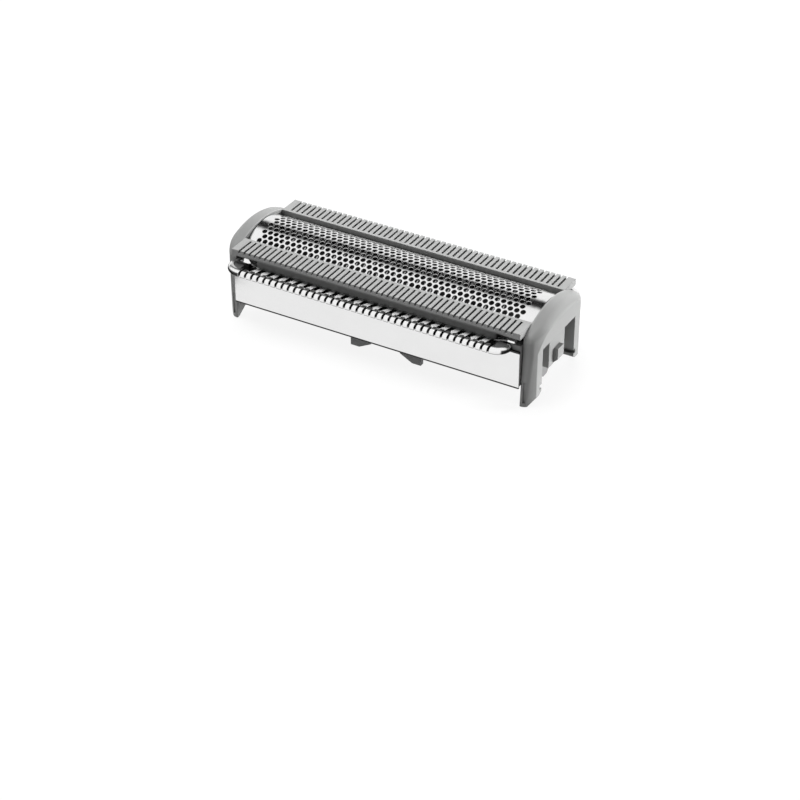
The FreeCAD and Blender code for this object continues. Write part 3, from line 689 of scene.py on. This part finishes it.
def build_end_pads(row):
    """Moulded ends that fill the fold beyond the blade."""
    shape = Shape()
    low = HEM_Z + SHEET
    high = HEM_TOP - PAD_GAP
    for end in (LEFT_END, RIGHT_END):
        side = end["side"]
        stop_x = FINGER_SHIFT + side * (BLADE_L / 2 + PAD_CLEARANCE)
        cx = end["x"] - side * end["reach"]
        reach = end["reach"] - PAD_INSET
        outline = [(stop_x, -PLATE_IN), (stop_x, PAD_INSET - HEM_Y)]
        for angle in END_ANGLES:
            s = math.sin(math.radians(angle))
            c = math.cos(math.radians(angle))
            outline.append((cx + side * reach * s, END_R - HEM_Y - (END_R - PAD_INSET) * c))
        outline.append((cx + side * reach, -PLATE_IN))
        if side < 0:
            outline.reverse()
        shape.prism([(x, y, low) for x, y in outline], (0, 0, high - low))
    shape.turn_to(row)
    make_object(row + "_guard_ends", shape, pad_grey, "base")


def tooth_outline(x, lean):
    """Slanted tooth about x, with small bevels at its tip."""
    root_x = x + lean
    tip_x = x - lean
    return [(root_x - TOOTH_ROOT_HALF, -BLADE_ROOT),
            (tip_x - TOOTH_WIDE_HALF, TOOTH_BEVEL - BLADE_TIP),
            (tip_x - TOOTH_TIP_HALF, -BLADE_TIP),
            (tip_x + TOOTH_TIP_HALF, -BLADE_TIP),
            (tip_x + TOOTH_WIDE_HALF, TOOTH_BEVEL - BLADE_TIP),
            (root_x + TOOTH_ROOT_HALF, -BLADE_ROOT)]


def build_blade(row):
    """Comb blade: slanted teeth with round roots, on a strip with three peg holes."""
    shape = Shape()
    lift = (0, 0, BLADE_TOP - BLADE_Z)
    x0 = FINGER_SHIFT - BLADE_L / 2
    x1 = FINGER_SHIFT + BLADE_L / 2
    count = int(BLADE_L / TOOTH_PITCH)
    lean = TOOTH_SLANT * (BLADE_TIP - BLADE_ROOT) / 2
    back = PEG_Y + PEG_HALF_W
    outline = [(x0, -back), (x0, -BLADE_ROOT)]
    for i in range(count):
        x = FINGER_SHIFT + (i - (count - 1) / 2) * TOOTH_PITCH
        outline += tooth_outline(x, lean)
        if i < count - 1:
            middle = x + lean + TOOTH_PITCH / 2
            for a in map(math.radians, VALLEY_ANGLES):
                outline.append((middle + VALLEY_HALF * math.cos(a), VALLEY_DEPTH * math.sin(a) - BLADE_ROOT))
    outline += [(x1, -BLADE_ROOT), (x1, -back)]
    shape.prism([(x, y, BLADE_Z) for x, y in outline], lift)
    edges = [x0] + [peg + half for peg in PEG_X for half in (-PEG_HALF_L, PEG_HALF_L)] + [x1]
    for n, (a, b) in enumerate(zip(edges, edges[1:])):
        far = PEG_Y - PEG_HALF_W if n % 2 else back
        strip = [(a, -BLADE_INNER), (a, -far), (b, -far), (b, -BLADE_INNER)]
        shape.prism([(x, y, BLADE_Z) for x, y in strip], lift)
    shape.turn_to(row)
    obj = make_object(row + "_comb_blade", shape, blade_steel, row + "_trimmer")
    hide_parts(row + "_blade")


# Springs

def build_bow_spring(middle, name):
    """Bow spring between bridge and beam."""
    shape = Shape()
    under = []
    slope_l = BOW_L / 2 - BOW_FOOT - BOW_CREST / 2
    for i in range(BOW_STEPS + 1):
        x = -BOW_L / 2 + BOW_L * i / BOW_STEPS
        share = max(0.0, min(1.0, (BOW_L / 2 - BOW_FOOT - abs(x)) / slope_l))
        rise = share * share * (3 - 2 * share)
        under.append((middle + x, -BOW_W / 2, BOW_LOW + (BOW_HIGH - BOW_T - BOW_LOW) * rise))
    over = [(x, y, z + BOW_T) for x, y, z in reversed(under)]
    shape.prism(under + over, (0, BOW_W, 0))
    obj = make_object(name + "_bow_spring", shape, spring_steel, "bridge", 40)
    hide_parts(name + "_cutter_spring")
    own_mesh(obj)


def build_spring_lugs(row):
    """Upturned lugs on the outer edge of a blade spring, a tall one and a low one."""
    shape = Shape()
    for lug in (TALL_LUG, LOW_LUG):
        outline = [(x, LUG_LEAN * (z - LUG_Z) - STRIP_EDGE_Y - LUG_OVERHANG, z) for x, z in lug]
        shape.prism(outline, (0, LUG_T, 0))
    shape.turn_to(row)
    make_object(row + "_spring_lugs", shape, spring_steel, "base")


build_foil()
build_lamellae()
build_bow_spring(-BOW_X, "left")
build_bow_spring(BOW_X, "right")
for row_name in ("front", "rear"):
    build_guard(row_name)
    build_end_pads(row_name)
    build_blade(row_name)
    build_spring_lugs(row_name)

for node_name, node_material in {
    "head_frame": frame_grey, "chassis": chassis_grey, "foil_holder": holder_black,
    "front_slider": slider_grey, "rear_slider": slider_grey,
    "front_blade_spring": spring_steel, "rear_blade_spring": spring_steel,
    "cutter_bridge": bridge_black, "cutter_beam": bridge_black,
}.items():
    for material_slot in nodes[node_name].material_slots:
        material_slot.material = node_material


# Floor, light and camera

def floor_paper():
    """White paper for the camera and in reflections, grey to the light that it throws back."""
    mat, tree, shader = new_material("floor_paper")
    tree.nodes.remove(shader)
    rays = tree.nodes.new("ShaderNodeLightPath").outputs
    paper = tree.nodes.new("ShaderNodeBsdfDiffuse")
    colour = ramp(tree, rays["Is Camera Ray"], PAPER_BOUNCE, 1.0, 0.0, 1.0)
    tree.links.new(colour, paper.inputs["Color"])
    # Two black cards beyond the head's ends, which only reflections show
    ends = place(tree, "X", CARD_X, 1.0, CARD_BLACK)
    sides = place(tree, "Y", CARD_Y, CARD_BLACK, 1.0)
    white = tree.nodes.new("ShaderNodeEmission")
    tree.links.new(larger(tree, ends, larger(tree, sides, rays["Is Camera Ray"])), white.inputs["Color"])
    seen = larger(tree, rays["Is Camera Ray"], rays["Is Glossy Ray"])
    share = math_node(tree, "MULTIPLY", seen, PAPER_SHINE)
    surface = mix_shaders(tree, share, paper.outputs[0], white.outputs[0])
    tree.links.new(surface, tree.nodes["Material Output"].inputs["Surface"])
    return mat


def build_floor():
    """Square sheet of paper just below the head's feet."""
    shape = Shape()
    corners = [(-1, -1), (1, -1), (1, 1), (-1, 1)]
    shape.face(*[(x * FLOOR_HALF, y * FLOOR_HALF, FLOOR_Z) for x, y in corners])
    mesh = bpy.data.meshes.new("floor")
    mesh.from_pydata([Vector(v) * MM for v in shape.verts], [], shape.faces)
    mesh.materials.append(floor_paper())
    floor = bpy.data.objects.new("floor", mesh)
    bpy.context.scene.collection.objects.link(floor)


def background(tree, strength):
    """White background shader."""
    node = tree.nodes.new("ShaderNodeBackground")
    node.inputs["Color"].default_value = (1, 1, 1, 1)
    node.inputs["Strength"].default_value = strength
    return node


def build_world():
    """White surroundings; reflections show one dark strip in them, high up behind the head."""
    world = bpy.data.worlds.new("studio")
    bpy.context.scene.world = world
    world.use_nodes = True
    tree = world.node_tree
    tree.nodes.clear()
    up = coordinate(tree, "Z", "Generated")
    back = coordinate(tree, "Y", "Generated")
    height = math_node(tree, "ARCTAN2", up, back)
    away = math_node(tree, "ABSOLUTE", math_node(tree, "SUBTRACT", height, math.radians(STRIP_HEIGHT)))
    strip = ramp(tree, away, STRIP_BLACK, 1.0, math.radians(STRIP_HALF), math.radians(STRIP_SOFT))
    strip.node.interpolation_type = "SMOOTHSTEP"
    shine = background(tree, 1.0)
    tree.links.new(strip, shine.inputs["Color"])
    rays = tree.nodes.new("ShaderNodeLightPath").outputs
    lit = mix_shaders(tree, rays["Is Glossy Ray"], background(tree, FILL).outputs[0], shine.outputs[0])
    seen = mix_shaders(tree, rays["Is Camera Ray"], lit, background(tree, 1.0).outputs[0])
    out = tree.nodes.new("ShaderNodeOutputWorld")
    tree.links.new(seen, out.inputs["Surface"])


def aim(obj, direction):
    """Turns a lamp or the camera along a direction."""
    obj.rotation_mode = "QUATERNION"
    obj.rotation_quaternion = direction.to_track_quat("-Z", "Y")


def soft_box(name, position, size, power):
    """Square lamp in metres and watts, aimed at the head and hidden from reflections."""
    light = bpy.data.lights.new(name, "AREA")
    light.shape = "SQUARE"
    light.size = size
    light.energy = power
    lamp = bpy.data.objects.new(name, light)
    bpy.context.scene.collection.objects.link(lamp)
    lamp.location = position
    lamp.visible_glossy = False
    aim(lamp, Vector(LAMP_TARGET) - Vector(position))


def build_camera():
    """Camera at the photograph's place, found from the head's own edges."""
    data = bpy.data.cameras.new("camera")
    data.sensor_width = SENSOR_W
    data.lens = SENSOR_W * FOCAL_PIXELS / PICTURE_PIXELS
    data.clip_start = 0.005
    data.clip_end = 10
    camera = bpy.data.objects.new("camera", data)
    bpy.context.scene.collection.objects.link(camera)
    a = math.radians(CAMERA_AZIMUTH)
    e = math.radians(CAMERA_ELEVATION)
    back = Vector((math.sin(a) * math.cos(e), -math.cos(a) * math.cos(e), math.sin(e)))
    camera.location = (Vector(CAMERA_TARGET) + back * CAMERA_DISTANCE) * MM
    aim(camera, -back)
    bpy.context.scene.camera = camera


build_floor()
build_world()
soft_box("box_behind", (-0.15, 0.4, 0.26), 0.3, 1.3)
soft_box("box_right", (0.42, 0.32, 0.05), 0.22, 6.4)
soft_box("box_above", (-0.12, -0.05, 0.48), 0.3, 2.4)
build_camera()
bpy.context.scene.view_settings.view_transform = "Standard"
